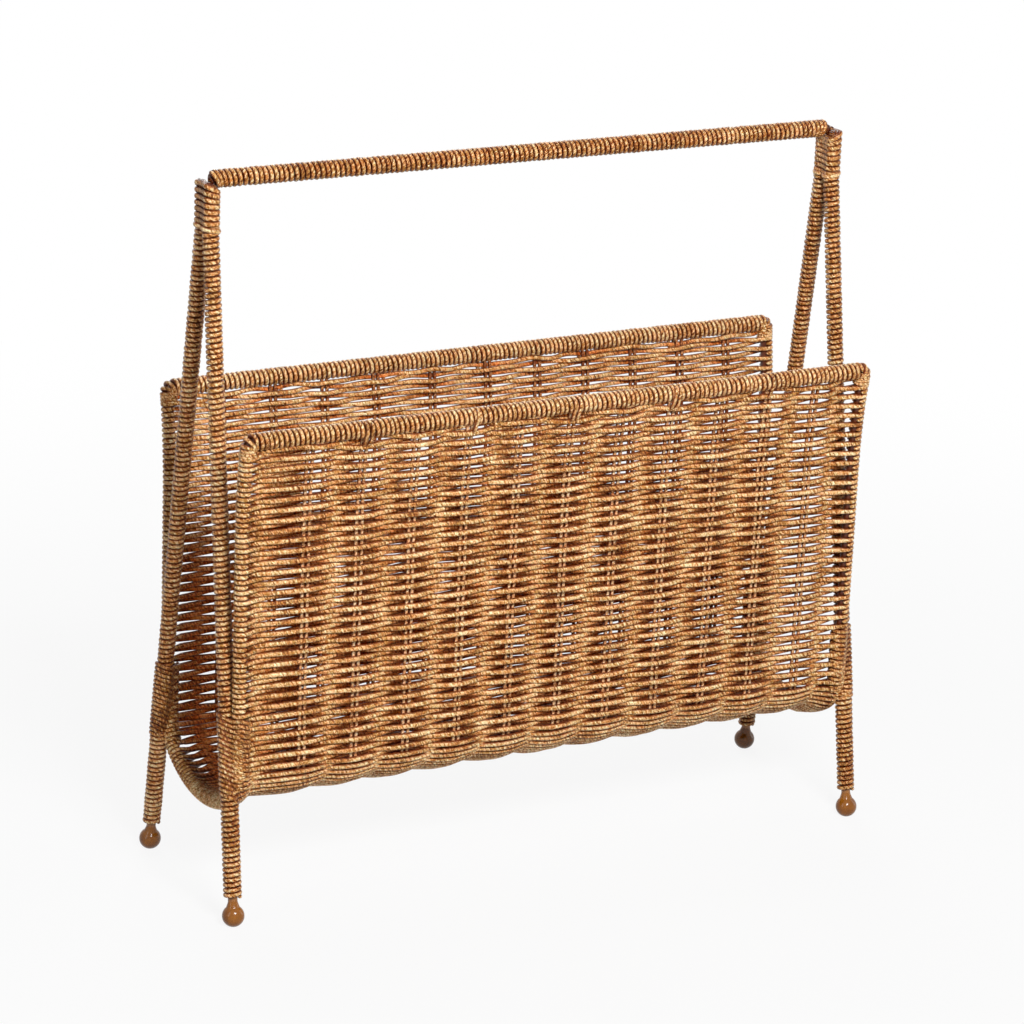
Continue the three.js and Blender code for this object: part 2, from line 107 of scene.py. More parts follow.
def hoop(sx, sy, z):
    """The axis of a hoop's arm at a height, below its flare."""
    y = WALL_Y if z > CORNER_Z else CORNER_Y + math.sqrt(max(0.0, CORNER_R ** 2 - (CORNER_Z - z) ** 2))
    return np.array([sx * HOOP_X, sy * y, z])


def waves(count, shortest, longest, dims=1):
    """A smooth random field of about -1 to 1, a sum of waves between two lengths."""
    way = rng.normal(size=(count, dims))
    way /= np.linalg.norm(way, axis=1, keepdims=True)
    k = way * (2 * math.pi / rng.uniform(shortest, longest, (count, 1)))
    turn = rng.uniform(0, 2 * math.pi, count)
    return lambda *at: np.sin(sum(np.multiply.outer(np.asarray(a, float), k[:, i])
                                  for i, a in enumerate(at)) + turn).sum(-1) * math.sqrt(2 / count) / 2


def unit(v):
    """Each row of v made one long."""
    return v / np.linalg.norm(v, axis=-1, keepdims=True)


def square_to(along, v):
    """The unit direction nearest to v that is square to along."""
    return unit(v - (v * along).sum(1, keepdims=True) * along)


def smooth_step(low, high, value):
    """0 up to low, 1 from high on, and a smooth rise between them."""
    t = np.clip((value - low) / (high - low), 0, 1)
    return t * t * (3 - 2 * t)


def blend(a, b, share):
    """a where the share is 0, and b where it is 1."""
    return a + (b - a) * share


def distances(line):
    """The distance along a line of each of its points."""
    return np.concatenate([[0], np.cumsum(np.linalg.norm(np.diff(line, axis=0), axis=1))])


def read_at(t, s, points):
    """Points given at the distances s, read at the distances t."""
    return np.stack([np.interp(t, s, points[:, i]) for i in range(3)], 1)


def straight(a, b):
    """A line of points between two places, or of angles between two angles."""
    return np.linspace(a, b, LINE_POINTS)


# A strand is a tube of eight sides, whose rings stand about a step apart
RING_SIDES = 8
RING = np.radians(np.arange(RING_SIDES) * (360.0 / RING_SIDES))
STEP = 1.05
FEWEST_STEPS = 6
TIP_SHARES = (0.55, 0.9)
TONE_SPREAD, TONE_DRIFT = 0.3, 0.5
FIBRE_START = 900


class Cords:
    """Collects strands into one mesh. Each vertex knows three things that the cord's material uses: its
    tone, its recess_shade, which is how far painted shade darkens and reddens it deep among the strands,
    and its fibre, which is the direction round the strand and the distance along it."""

    def __init__(self):
        self.points, self.faces, self.tone, self.fibre, self.recess_shade = [], [], [], [], []
        self.count = 0

    def add(self, line, out, wide, high, step=STEP, tone=None, depth=0.0, inside=0.0):
        """depth is how far the strand stands out from its neighbours along out, -1 to 1; painted shade
        darkens and reddens its side away from out where depth is above 0, and its side towards out where
        depth is below 0. inside is how much painted shade darkens and reddens its side away from out, or its
        side towards out where it is less than 0."""
        line = np.asarray(line, float)
        out = np.broadcast_to(np.asarray(out, float), line.shape)
        s = distances(line)
        rings = max(FEWEST_STEPS, int(round(s[-1] / step)))
        t = np.linspace(0, s[-1], rings + 1)
        at_rings = lambda value: np.interp(t, s, np.broadcast_to(value, s.shape))
        wide, high = at_rings(wide), at_rings(high)
        line, out = read_at(t, s, line), read_at(t, s, out)
        along = unit(np.gradient(line, axis=0))
        out = square_to(along, out)
        side = np.cross(out, along)
        size = np.ones(rings + 1)
        for i, share in enumerate(TIP_SHARES):
            size[i] = size[-1 - i] = share
        a = (wide * size)[:, None] * np.cos(RING)
        b = (high * size)[:, None] * np.sin(RING)
        points = line[:, None] + a[..., None] * side[:, None] + b[..., None] * out[:, None]
        self.points.append(points.reshape(-1, 3))
        self.faces.append(self.tube_faces(rings) + self.count)
        self.count += (rings + 1) * RING_SIDES
        own = rng.normal(0, TONE_SPREAD) if tone is None else at_rings(tone)
        drift = TONE_DRIFT * waves(4, 14, 60)(t)
        self.tone.append(np.repeat(own + drift, RING_SIDES))
        self.fibre.append(np.stack([np.tile(np.cos(RING), rings + 1), np.tile(np.sin(RING), rings + 1),
                                    np.repeat(t + rng.uniform(0, FIBRE_START), RING_SIDES)], 1))
        recess_shade = sum(np.clip(-at_rings(share)[:, None] * np.sin(RING), 0, 1) for share in (depth, inside))
        self.recess_shade.append(np.minimum(recess_shade, 1).ravel())

    @staticmethod
    def tube_faces(rings):
        """The faces of a tube, and the three faces that close it at each end."""
        ring = np.arange(rings)[:, None] * RING_SIDES
        m = np.arange(RING_SIDES)[None]
        n = (m + 1) % RING_SIDES
        body = np.stack([ring + m, ring + n, ring + RING_SIDES + n, ring + RING_SIDES + m], -1).reshape(-1, 4)
        first = np.array([[3, 2, 1, 0], [7, 4, 3, 0], [6, 5, 4, 7]])
        last = rings * RING_SIDES + np.array([[0, 1, 2, 3], [0, 3, 4, 7], [7, 4, 5, 6]])
        return np.concatenate([body, first, last])

    def build(self, name, material, nodes):
        points, faces = np.concatenate(self.points) * MM, np.concatenate(self.faces)
        mesh = bpy.data.meshes.new(name)
        mesh.vertices.add(len(points))
        mesh.vertices.foreach_set("co", points.astype(np.float32).ravel())
        mesh.loops.add(faces.size)
        mesh.loops.foreach_set("vertex_index", faces.astype(np.int32).ravel())
        mesh.polygons.add(len(faces))
        mesh.polygons.foreach_set("loop_start", np.arange(0, faces.size, 4, dtype=np.int32))
        mesh.polygons.foreach_set("use_smooth", np.ones(len(faces), bool))
        mesh.update(calc_edges=True)
        for key, kind, field, data in (("tone", "FLOAT", "value", self.tone),
                                       ("recess_shade", "FLOAT", "value", self.recess_shade),
                                       ("fibre", "FLOAT_VECTOR", "vector", self.fibre)):
            layer = mesh.attributes.new(key, kind, "POINT")
            layer.data.foreach_set(field, np.concatenate(data).astype(np.float32).ravel())
        finish_piece(name, mesh, material, nodes)


def finish_piece(name, mesh, material, nodes):
    """Makes a piece of a mesh. The piece gives the looks of the CAD nodes that are named in nodes."""
    piece = bpy.data.objects.new(name, mesh)
    bpy.context.scene.collection.objects.link(piece)
    mesh.materials.append(material)
    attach(piece, "root")
    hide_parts(*nodes)


# Materials
def linear(r, g, b):
    """The linear colour of a screen colour given in 0 to 255."""
    f = lambda c: c / 12.92 if c <= 0.04045 else ((c + 0.055) / 1.055) ** 2.4
    return (f(r / 255), f(g / 255), f(b / 255), 1.0)


class Nodes:
    """The nodes of a material or a world. A value is a number, a colour or the output of a node."""

    def __init__(self, owner):
        self.owner = owner
        owner.use_nodes = True
        self.tree = owner.node_tree

    def new(self, kind, **settings):
        node = self.tree.nodes.new(kind)
        for key, value in settings.items():
            setattr(node, key, value)
        return node

    def put(self, value, socket):
        """Sets a socket to a plain value, or links it to the output of another node."""
        if isinstance(value, bpy.types.NodeSocket):
            self.tree.links.new(value, socket)
        else:
            socket.default_value = value

    def fill(self, node, values):
        for key, value in values.items():
            self.put(value, node.inputs[key])
        return node

    def surface(self, values):
        self.fill(self.tree.nodes["Principled BSDF"], values)

    def math(self, how, *values):
        node = self.new("ShaderNodeMath", operation=how)
        return self.fill(node, dict(enumerate(values))).outputs[0]

    def add(self, value, gain, base):
        """base plus the value times gain."""
        return self.math("MULTIPLY_ADD", value, gain, base)

    def swing(self, value, gain, base):
        """base plus what the value swings about 0.5, times gain."""
        return self.add(self.math("SUBTRACT", value, 0.5), gain, base)

    def attribute(self, name):
        return self.new("ShaderNodeAttribute", attribute_name=name).outputs

    def place(self):
        return self.new("ShaderNodeTexCoord").outputs["Object"]

    def noise(self, vector, scale, detail=3.0, rough=0.55):
        node = self.new("ShaderNodeTexNoise")
        self.fill(node, {"Vector": vector, "Scale": scale, "Detail": detail, "Roughness": rough})
        return node.outputs["Fac"]

    def ramp(self, value, stops):
        node = self.new("ShaderNodeValToRGB")
        elements = node.color_ramp.elements
        while len(elements) < len(stops):
            elements.new(0.5)
        for element, (at, color) in zip(elements, stops):
            element.position = at
            element.color = color
        return self.fill(node, {"Fac": value}).outputs["Color"]

    def fade(self, value, low, high, first, last):
        """From first to last in a smooth step, as the value goes from low to high."""
        node = self.new("ShaderNodeMapRange", interpolation_type="SMOOTHSTEP")
        self.fill(node, {"Value": value, "From Min": low, "From Max": high, "To Min": first, "To Max": last})
        return node.outputs["Result"]

    def multiply(self, color, by, share=1.0):
        """A colour multiplied by another, as far as the share says."""
        node = self.new("ShaderNodeMix", data_type="RGBA", blend_type="MULTIPLY")
        return self.fill(node, {"Factor": share, "A": color, "B": by}).outputs["Result"]

    def bump(self, height, strength, distance):
        node = self.new("ShaderNodeBump")
        self.fill(node, {"Height": height, "Strength": strength, "Distance": distance})
        return node.outputs["Normal"]

    def seen(self):
        """1 for a ray from the camera or a mirrored one, and 0 for a ray that only brings light."""
        rays = self.new("ShaderNodeLightPath").outputs
        return self.math("MAXIMUM", rays["Is Camera Ray"], rays["Is Glossy Ray"])


# Painted shade: the colour that darkens a cord's flanks, where it lies against its neighbours
FLANK_SHADE_TINT = (0.26, 0.055, 0.005, 1)
# Painted shade: the colour that darkens and reddens a cord deep between the strands
RECESS_SHADE_TINT = (0.95, 0.36, 0.06, 1)
WARM_TINT, COOL_TINT = (1.0, 0.82, 0.66, 1), (0.95, 1.0, 0.9, 1)
GLOSS_TINT = (1.0, 0.82, 0.58, 1)


def cord_material(name, lay, dark, middle, light, rough, flank_from=0.5):
    """A two-ply cord. lay is the length of one turn of its twist. Painted shade darkens its flanks from the
    share flank_from of its half width."""
    n = Nodes(bpy.data.materials.new(name))
    tone = n.attribute("tone")["Fac"]
    fibre = n.attribute("fibre")["Vector"]
    sideways, outwards, along = n.fill(n.new("ShaderNodeSeparateXYZ"), {"Vector": fibre}).outputs
    # The fibres follow the angle round the strand, turned back by the twist and loosened by noise
    angle = n.math("ARCTAN2", outwards, sideways)
    loose = n.add(n.noise(fibre, scale=0.45, detail=2.0), gain=4.2, base=angle)
    turned = n.add(along, gain=-2 * math.pi / lay, base=loose)
    both_plies = n.math("COSINE", n.math("MULTIPLY", turned, 2.0))
    ply = n.math("POWER", n.add(both_plies, gain=-0.5, base=0.5), 3.0)
    stretched = n.math("MULTIPLY", along, 0.22)
    lie = n.new("ShaderNodeCombineXYZ")
    n.fill(lie, {"X": n.math("COSINE", turned), "Y": n.math("SINE", turned), "Z": stretched})
    streak = n.noise(lie.outputs["Vector"], scale=2.3, detail=4.0, rough=0.7)
    place = n.place()
    patch = n.noise(place, scale=60.0, detail=2.0)
    speck = n.noise(place, scale=900.0, detail=2.0, rough=0.6)
    value = n.swing(streak, gain=2.3, base=0.55)
    value = n.add(tone, gain=0.1, base=value)
    value = n.swing(patch, gain=0.45, base=value)
    value = n.swing(speck, gain=0.9, base=value)
    # Painted shade: the colour darkens in the groove between the two plies
    value = n.add(ply, gain=-0.17, base=value)
    color = n.ramp(value, [(0.2, dark), (0.5, middle), (0.78, light)])
    stain = n.ramp(n.noise(fibre, scale=0.35, detail=1.0), [(0.38, WARM_TINT), (0.62, COOL_TINT)])
    color = n.multiply(color, stain)
    # Painted shade: the flanks, where a strand lies against its neighbours, are darker
    flank_shade = n.fade(n.math("ABSOLUTE", sideways), low=flank_from, high=0.96, first=0.0, last=0.97)
    color = n.multiply(color, FLANK_SHADE_TINT, flank_shade)
    # Painted shade: deep between the strands and inside the trough the colour is darker and redder
    color = n.multiply(color, RECESS_SHADE_TINT, n.attribute("recess_shade")["Fac"])
    relief = n.add(speck, gain=0.6, base=n.math("MULTIPLY", streak, 1.3))
    relief = n.add(ply, gain=-0.5, base=relief)
    n.surface({"Base Color": color, "Roughness": n.add(streak, gain=-0.2, base=rough + 0.1),
               "Normal": n.bump(relief, strength=0.8, distance=0.0003),
               "Specular IOR Level": 0.32, "Specular Tint": GLOSS_TINT})
    return n.owner


def rod_material(name, dark, light):
    n = Nodes(bpy.data.materials.new(name))
    place = n.place()
    cloud = n.noise(place, scale=260.0)
    grain = n.noise(place, scale=900.0, detail=2.0)
    n.surface({"Base Color": n.ramp(cloud, [(0.3, dark), (0.7, light)]),
               "Roughness": n.add(cloud, gain=0.2, base=0.28),
               "Normal": n.bump(grain, strength=0.12, distance=0.0002)})
    return n.owner


def ball_material(name, dark, light):
    n = Nodes(bpy.data.materials.new(name))
    place = n.place()
    cloud = n.noise(place, scale=120.0)
    smear = n.noise(place, scale=500.0, detail=2.0)
    n.surface({"Base Color": n.ramp(cloud, [(0.3, dark), (0.7, light)]),
               "Roughness": n.add(smear, gain=0.1, base=0.16),
               "Coat Weight": 0.25, "Specular IOR Level": 0.22, "Coat Roughness": 0.05})
    return n.owner


cord = cord_material("twisted_cord", 5.2, linear(90, 34, 2), linear(196, 134, 62), linear(254, 232, 194),
                     rough=0.36, flank_from=0.3)
weft = cord_material("weft_cord", 5.2, linear(92, 36, 2), linear(204, 141, 66), linear(255, 238, 202),
                     rough=0.36)
# Painted light: the stake cords are coloured lighter than the weft, so that they look lit in the shade
# between the strands
stake_cord_painted_light = cord_material("stake_cord_painted_light", 4.2, linear(104, 44, 16), linear(226, 162, 108),
                           linear(255, 230, 200), rough=0.4)
rod = rod_material("painted_rod", linear(126, 78, 34), linear(158, 104, 52))
# Painted shade: the rods other than the legs' are coloured dark brown, for the shade they lie in between the
# cords' turns
shaded_rod = rod_material("shaded_rod", linear(70, 26, 6), linear(98, 44, 12))
ball = ball_material("caramel_ball", linear(118, 66, 10), linear(144, 88, 22))
for name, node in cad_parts.items():
    node.data.materials.clear()
    node.data.materials.append(rod if "leg_rod" in name else shaded_rod)

# Rows of weft. They lie closer together round the bottom, and a little closer under the rims
WEFT_FIRST = 6.4
WEFT_PITCH, PACKED_LESS = 3.04, 1.22
RIM_LESS, RIM_FADE = 0.75, 6.0
PACKED_FROM = (CORNER_RUN - 2, CORNER_RUN + 8)
PACKED_TO = (HALF_RUN + 4, HALF_RUN + 16)


def packed(run):
    """How tightly the rows lie at a run: 0 on the walls, 1 from the front corner to behind the middle."""
    return smooth_step(*PACKED_FROM, run) * (1 - smooth_step(*PACKED_TO, run))


def weft_runs():
    """The run of each row. Their number is even, because rows take turns on the sides of the stakes."""
    runs = np.linspace(WEFT_FIRST, FULL_RUN - WEFT_FIRST, 3000)
    to_rim = np.minimum(runs, FULL_RUN - runs)
    pitches = WEFT_PITCH - PACKED_LESS * packed(runs) - RIM_LESS * np.exp(-to_rim / RIM_FADE)
    counted = np.concatenate([[0], np.cumsum(np.diff(runs) / pitches[1:])])
    count = int(counted[-1]) + 1
    count += count % 2
    return np.interp(np.linspace(0, counted[-1], count), counted, runs)


row_runs = weft_runs()

# How the weave stands off from the CAD layers, as in the photograph. Along the bottom it hangs higher
# than the hoops, and the stakes of the back wall aren't quite opposite those of the front
LIFT = 2.7
LIFT_RUNS = (CORNER_RUN, BOTTOM_RUN + 8)
LIFT_INSETS = (5, 15)
BACK_SHIFT_FIRST, BACK_SHIFT_LAST = -6, 3
BACK_SHIFT_STAKES = (2.6, 5.4)


def lift(run, x):
    """How much higher the weave hangs. It grows round the corners and from the hoops inwards."""
    down = np.minimum(run, FULL_RUN - run)
    return LIFT * smooth_step(*LIFT_RUNS, down) * smooth_step(*LIFT_INSETS, HOOP_X - np.abs(x))


def towards_back(run):
    """0 on the front wall and 1 on the back wall, in a smooth step across the bottom."""
    return smooth_step(CORNER_RUN, FULL_RUN - CORNER_RUN, run)


def stake_at(i, run):
    """Where a stake stands along x."""
    shift = blend(BACK_SHIFT_FIRST, BACK_SHIFT_LAST, smooth_step(*BACK_SHIFT_STAKES, i))
    return STAKE_X[i] + towards_back(run) * shift


# Weft: each cord passes alternate sides of the stakes and ends in a turn round each hoop. Beside a hoop
# the rows that turn over it cross those that turn under it. CROSS_LEFT and CROSS_RIGHT say how far from
# the hoop's axis, on the front wall and on the back wall. HALF_WAVES counts the weave's half waves up to
# the left hoop, the crossing beside it, each stake, the crossing beside the right hoop and that hoop
WEFT_SWING, SWING_SPREAD = 2.4, 0.06
CROSS_LEFT = (8, 18)
CROSS_RIGHT = (17, 14)
TURN_R = 3.95
TURN_END = math.radians(290)
TURN_SLANT = 0.29
TURN_WIDTH, TURN_FADE = 3.0, 3.5
BODY_STEP, LINE_STEP = 0.5, 0.4
SMOOTHING = 7
SLIP, SWAY = 0.06, 0.55
WANDER, RIM_WANDER, RIM_ROWS = 0.18, 0.75, 2.2
HALF_WAVES = np.concatenate([[0, 0.5], np.arange(1, STAKES + 1), [STAKES + 0.5, STAKES + 1]])
sway = waves(12, 60, 170, 2)


def smoothed(a):
    """A row of numbers with each one made the mean of its neighbours, but for those at the ends."""
    half = SMOOTHING // 2
    return np.concatenate([a[:half], np.convolve(a, np.ones(SMOOTHING) / SMOOTHING, "valid"), a[-half:]])


def weft_line(row):
    """A row's x, its distance out from the middle of the weave, its run, the angle of its outward side
    where it turns, the side on which it starts, and how far each point belongs to the turn on a hoop."""
    side = -1.0 if row % 2 == 0 else 1.0
    back = float(towards_back(row_runs[row]))
    cross_left, cross_right = blend(*CROSS_LEFT, back), blend(*CROSS_RIGHT, back)
    stakes = [float(stake_at(i, row_runs[row])) for i in range(STAKES)]
    crossings = [-HOOP_X, -HOOP_X + cross_left, *stakes, HOOP_X - cross_right, HOOP_X]
    left_arc = straight(TURN_END, math.acos(TURN_R / cross_left))
    right_arc = straight(math.acos(TURN_R / cross_right), TURN_END)
    swing = WEFT_SWING * (1 + SWING_SPREAD * rng.normal())
    x = np.arange(-HOOP_X + cross_left, HOOP_X - cross_right, BODY_STEP)
    slip = SLIP * waves(4, 40, 120)(x)
    body = swing * np.cos(math.pi * (np.interp(x, crossings, HALF_WAVES) + slip))
    xs = np.concatenate([-HOOP_X + TURN_R * np.cos(left_arc), x, HOOP_X - TURN_R * np.cos(right_arc)])
    offs = side * np.concatenate([TURN_R * np.sin(left_arc), body, TURN_R * np.sin(right_arc)])
    shift = side * TURN_SLANT * np.concatenate([left_arc - math.pi, 0 * x, math.pi - right_arc])
    angle = np.concatenate([left_arc, np.full(len(x), math.pi / 2), math.pi - right_arc])
    s = np.concatenate([[0], np.cumsum(np.hypot(np.diff(xs), np.diff(offs)))])
    t = np.arange(0, s[-1], LINE_STEP)
    xs, offs, shift, angle = (np.interp(t, s, a) for a in (xs, offs, shift, angle))
    on_hoop = np.clip((np.abs(xs) - (HOOP_X - TURN_WIDTH - TURN_FADE)) / TURN_FADE, 0, 1)
    for _ in range(2):
        xs, offs, shift = smoothed(xs), smoothed(offs), smoothed(shift)
    from_rim = min(row, len(row_runs) - 1 - row)
    run = row_runs[row] + shift
    own = (WANDER + RIM_WANDER * math.exp(-from_rim / RIM_ROWS)) * waves(5, 18, 70)(xs)
    run = run + (1 - on_hoop) * (SWAY * sway(xs, run) + own)
    return xs, offs, run, angle, side, on_hoop


# Half width and half height of a weft. It is thinner where the rows are packed, on the back wall and
# where it passes from one side of the stakes to the other, and painted shade darkens and reddens it
# deep inside the trough
WEFT_R, PACKED_THINNER, BACK_THINNER = 1.73, 0.19, 0.19
BETWEEN_THINNER, THICK_AND_THIN = 0.06, 0.05
TURN_WIDE, PACKED_NARROWER = 1.4, 0.43
TURN_HIGH, PACKED_FLATTER = 1.25, 0.1
BACK_THIN_RUNS = (HALF_RUN, FULL_RUN - 60)
INNER_SHADE = 0.85
INNER_SHADE_RUNS = (45, 130)
PANEL_PIECES = 4


def add_weft(cords, row):
    xs, offs, run, angle, side, on_hoop = weft_line(row)
    y, z, ny, nz = section(run, offs - lift(run, xs))
    out_x, out_off = np.cos(angle), side * np.sin(angle)
    out = np.stack([out_x, out_off * ny, out_off * nz], 1)
    between = 1 - np.minimum(1, np.abs(offs) / WEFT_SWING)
    tight = float(packed(row_runs[row]))
    behind = float(smooth_step(*BACK_THIN_RUNS, row_runs[row]))
    body = WEFT_R - PACKED_THINNER * tight - BACK_THINNER * behind ** 4
    body = body * (1 - BETWEEN_THINNER * between + THICK_AND_THIN * waves(5, 8, 30)(xs))
    wide = TURN_WIDE - PACKED_NARROWER * tight
    high = TURN_HIGH - PACKED_FLATTER * tight
    # Painted shade: the side of the row that faces into the trough darkens and reddens further down it
    inside = INNER_SHADE * smooth_step(*INNER_SHADE_RUNS, np.minimum(run, FULL_RUN - run))
    cords.add(np.stack([xs, y, z], 1), out, body * (1 - on_hoop) + wide * on_hoop,
              body * (1 - on_hoop) + high * on_hoop, depth=side * offs / WEFT_SWING * (1 - on_hoop),
              inside=side * (1 - on_hoop) * inside)


def weft_panel(panel, low, high):
    """The rows from one run to another, shared out over a few pieces."""
    rows = [i for i, run in enumerate(row_runs) if low <= run < high]
    wraps = "{}_hoop_bottom_wrap" if panel == "bottom" else panel + "_{}_hoop_wrap"
    nodes = [f"{panel}_weave_outer", f"{panel}_weave_inner", *(wraps.format(side) for side, _ in SIDES_X)]
    for i, share in enumerate(np.array_split(rows, PANEL_PIECES)):
        cords = Cords()
        for row in share:
            add_weft(cords, int(row))
        cords.build(f"{panel}_weft_{i + 1}", weft, nodes)


weft_panel("front", 0, CORNER_RUN)
weft_panel("bottom", CORNER_RUN, FULL_RUN - CORNER_RUN)
weft_panel("back", FULL_RUN - CORNER_RUN, FULL_RUN)

# Stakes: a pair of cords each, coloured lighter than the weft as painted light, and darker on the back wall
STAKE_END = 3.0
STAKE_HALF_GAP = 1.6
STAKE_WIDE, STAKE_HIGH, STAKE_STEP = 1.15, 1.1, 1.2
STAKE_WANDER = 0.25
# Painted light: the stakes of the front wall get a lighter tone
STAKE_PAINTED_LIGHT, STAKE_DARKER = 0.5, 3.6


def stake_pair(i):
    cords = Cords()
    for side in (-1, 1):
        run = np.arange(STAKE_END, FULL_RUN - STAKE_END, 1.0)
        y, z, ny, nz = section(run, -lift(run, STAKE_X[i]))
        wander = STAKE_WANDER * waves(5, 40, 160)(run)
        line = np.stack([stake_at(i, run) + side * STAKE_HALF_GAP + wander, y, z], 1)
        cords.add(line, np.stack([0 * ny, ny, nz], 1), STAKE_WIDE, STAKE_HIGH, step=STAKE_STEP,
                  tone=STAKE_PAINTED_LIGHT - STAKE_DARKER * towards_back(run))
    cords.build(f"stake_pair_{i + 1:02d}", stake_cord_painted_light, [f"stake_{i + 1:02d}"])


for i in range(STAKES):
    stake_pair(i)

# Wraps
WRAP_WIDE, WRAP_HIGH = 1.36, 1.3
WRAP_POINTS = 44
FAN_TURNS = 1.8
PITCH_WANDER, RADIUS_WANDER = 0.3, 0.12


def wrap(cords, axis, across, pitch, radius, wide=WRAP_WIDE, high=WRAP_HIGH, fan=0.0, tone=None):
    """A cord wound closely round an axis. across is a direction square to the axis along all of it. The
    turns at both ends lean by the length fan: they reach furthest on the side of across."""
    along = unit(np.gradient(axis, axis=0))
    across = square_to(along, np.broadcast_to(np.asarray(across, float), axis.shape))
    third = np.cross(along, across)
    s = distances(axis)
    turns = s[-1] / pitch
    share = np.linspace(0, turns, int(turns * WRAP_POINTS))
    angle = 2 * math.pi * share
    ends = np.exp(-share / FAN_TURNS) - np.exp((share - turns) / FAN_TURNS)
    at = share * pitch + PITCH_WANDER * waves(6, 9, 60)(share * pitch) + fan * ends * (1 - np.cos(angle)) / 2
    at = np.clip(at, 0, s[-1])
    out = np.cos(angle)[:, None] * read_at(at, s, across) + np.sin(angle)[:, None] * read_at(at, s, third)
    grow = radius + RADIUS_WANDER * waves(6, 1.5, 9)(share)
    cords.add(read_at(at, s, axis) + grow[:, None] * out, out, wide, high, tone=tone)


HANDLE_INSET_LEFT, HANDLE_INSET_RIGHT = 1.5, 2.5
HANDLE_PITCH, HANDLE_WRAP_R, HANDLE_FAN = 3.1, 4.0, 4.5
# Painted shade: the handle's cord is darker, to tone down the light on its top
HANDLE_WIDE, HANDLE_SHADE_TONE = 1.4, -0.5


def handle_cord():
    cords = Cords()
    axis = straight((-END_X + HANDLE_INSET_LEFT, 0, HANDLE_Z), (END_X - HANDLE_INSET_RIGHT, 0, HANDLE_Z))
    wrap(cords, axis, (0, 0, 1), HANDLE_PITCH, HANDLE_WRAP_R, wide=HANDLE_WIDE, fan=HANDLE_FAN,
         tone=HANDLE_SHADE_TONE)
    cords.build("handle_cord", cord, ["handle_wrap"])


handle_cord()

# Cords of the two ends. A value with LEFT in its name is what the left end has more and the right end less
LEG_WRAP_TOP, LEG_OVERLAP = KNEE_Z + 1.5, 1
LEG_PITCH, LEG_WRAP_R = 3.05, 3.8
LEG_WIDE, LEG_HIGH = 1.4, 1.15
# Painted shade: the upper leg cords of the right end are darker than those of the left, for the light that
# falls on them
LEG_TONE, LEG_PAINTED_LIGHT_LEFT = -0.25, 0.35
SHIN_OVERLAP, SHIN_LOW = 4, 16.4
SHIN_PITCH, SHIN_WRAP_R = 2.95, 4.1
BAND_POINTS = 72
BAND_LEAD = 3.2
BIND_INSET, BIND_PITCH, BIND_R = 1.5, 2.8, 4.75
BIND_TILT, BIND_DIP, BIND_SAG, BIND_SAG_LEFT = 1.3, 1.8, 1.3, 1.1
BIND_WIDE, BIND_HIGH, BIND_TONE = 1.36, 1.25, -0.9
TOP_Z = 414
TOP_START, TOP_END = TOP_Z + 0.6, KNEE_Z - 0.2
TOP_PITCH, TOP_R, TOP_DIP = 3.2, 4.15, 1.1
TOP_LEAN, END_LEAN, LEAN_FADE = 0.5, 2.7, 7
TOP_WIDE, TOP_HIGH, TOP_TONE = 1.62, 1.15, -0.4
KNOT_START, KNOT_END = KNEE_Z + 1.6, KNEE_Z - 1.4
KNOT_PITCH, KNOT_R, KNOT_TILT, KNOT_TURN = 2.4, 4.6, 1.0, 1.2
KNOT_WIDE, KNOT_HIGH, KNOT_TONE = 1.4, 1.2, 1.5
CAP_LOOPS = ((TOP_Z, 2.7), (TOP_Z + 0.5, 0.9))
CAP_DROP, CAP_TILT = 0.6, 0.6
CAP_WIDE, CAP_HIGH, CAP_TONE = 1.5, 1.2, -2.6
PLUG_INSET, PLUG_R, PLUG_DROP = 2.4, 3.0, 0.4
PLUG_TURN, PLUG_CLOSES, PLUG_OUTWARDS = 3.2 * math.pi, 0.27, 0.1
# Painted shade: the coil at the handle's end is near black-brown, standing in for the shaded hollow there
PLUG_WIDE, PLUG_HIGH, PLUG_SHADE_TONE = 1.2, 1.1, -4.5


def no_tilt(h):
    return 0.0


def band_line(first, second, radius, top, low, pitch, tilt=no_tilt, dip=0.0, sag=0.0, outer=1.0, start=0.0):
    """A line wound round two upright axes together, from top down to low. It stands higher by the tilt at
    its outer end, sinks in by dip and hangs lower by sag between the two axes."""
    turns = (top - low) / pitch
    angle = start + outer * np.linspace(0, 2 * math.pi * turns, int(turns * BAND_POINTS))
    points = []
    for a, h in zip(angle, np.linspace(top, low, len(angle))):
        out = np.array([math.cos(a), math.sin(a), 0])
        one, two = first(h), second(h)
        lead = float((one - two) @ out) / BAND_LEAD
        centre = two + (one - two) * min(1.0, max(0.0, 0.5 + 0.5 * lead))
        between = max(0.0, 1 - lead * lead)
        rise = tilt(h) * outer * out[0] - sag * between
        points.append(centre + (radius - dip * between) * out + np.array([0, 0, rise]))
    return np.array(points), np.stack([np.cos(angle), np.sin(angle), 0 * angle], 1)


def leg_cords(corner, sx, sy):
    cords = Cords()
    axis = straight(leg(sx, sy, LEG_WRAP_TOP), leg(sx, sy, BIND_TOP - LEG_OVERLAP))
    wrap(cords, axis, (1, 0, 0), LEG_PITCH, LEG_WRAP_R, wide=LEG_WIDE, high=LEG_HIGH,
         tone=LEG_TONE - LEG_PAINTED_LIGHT_LEFT * sx)
    cords.build(f"{corner}_leg_cord", cord, [f"{corner}_leg_wrap"])
    cords = Cords()
    axis = straight(leg(sx, sy, BIND_LOW + SHIN_OVERLAP), leg(sx, sy, SHIN_LOW))
    wrap(cords, axis, (1, 0, 0), SHIN_PITCH, SHIN_WRAP_R)
    cords.build(f"{corner}_shin_cord", cord, [f"{corner}_shin_wrap"])


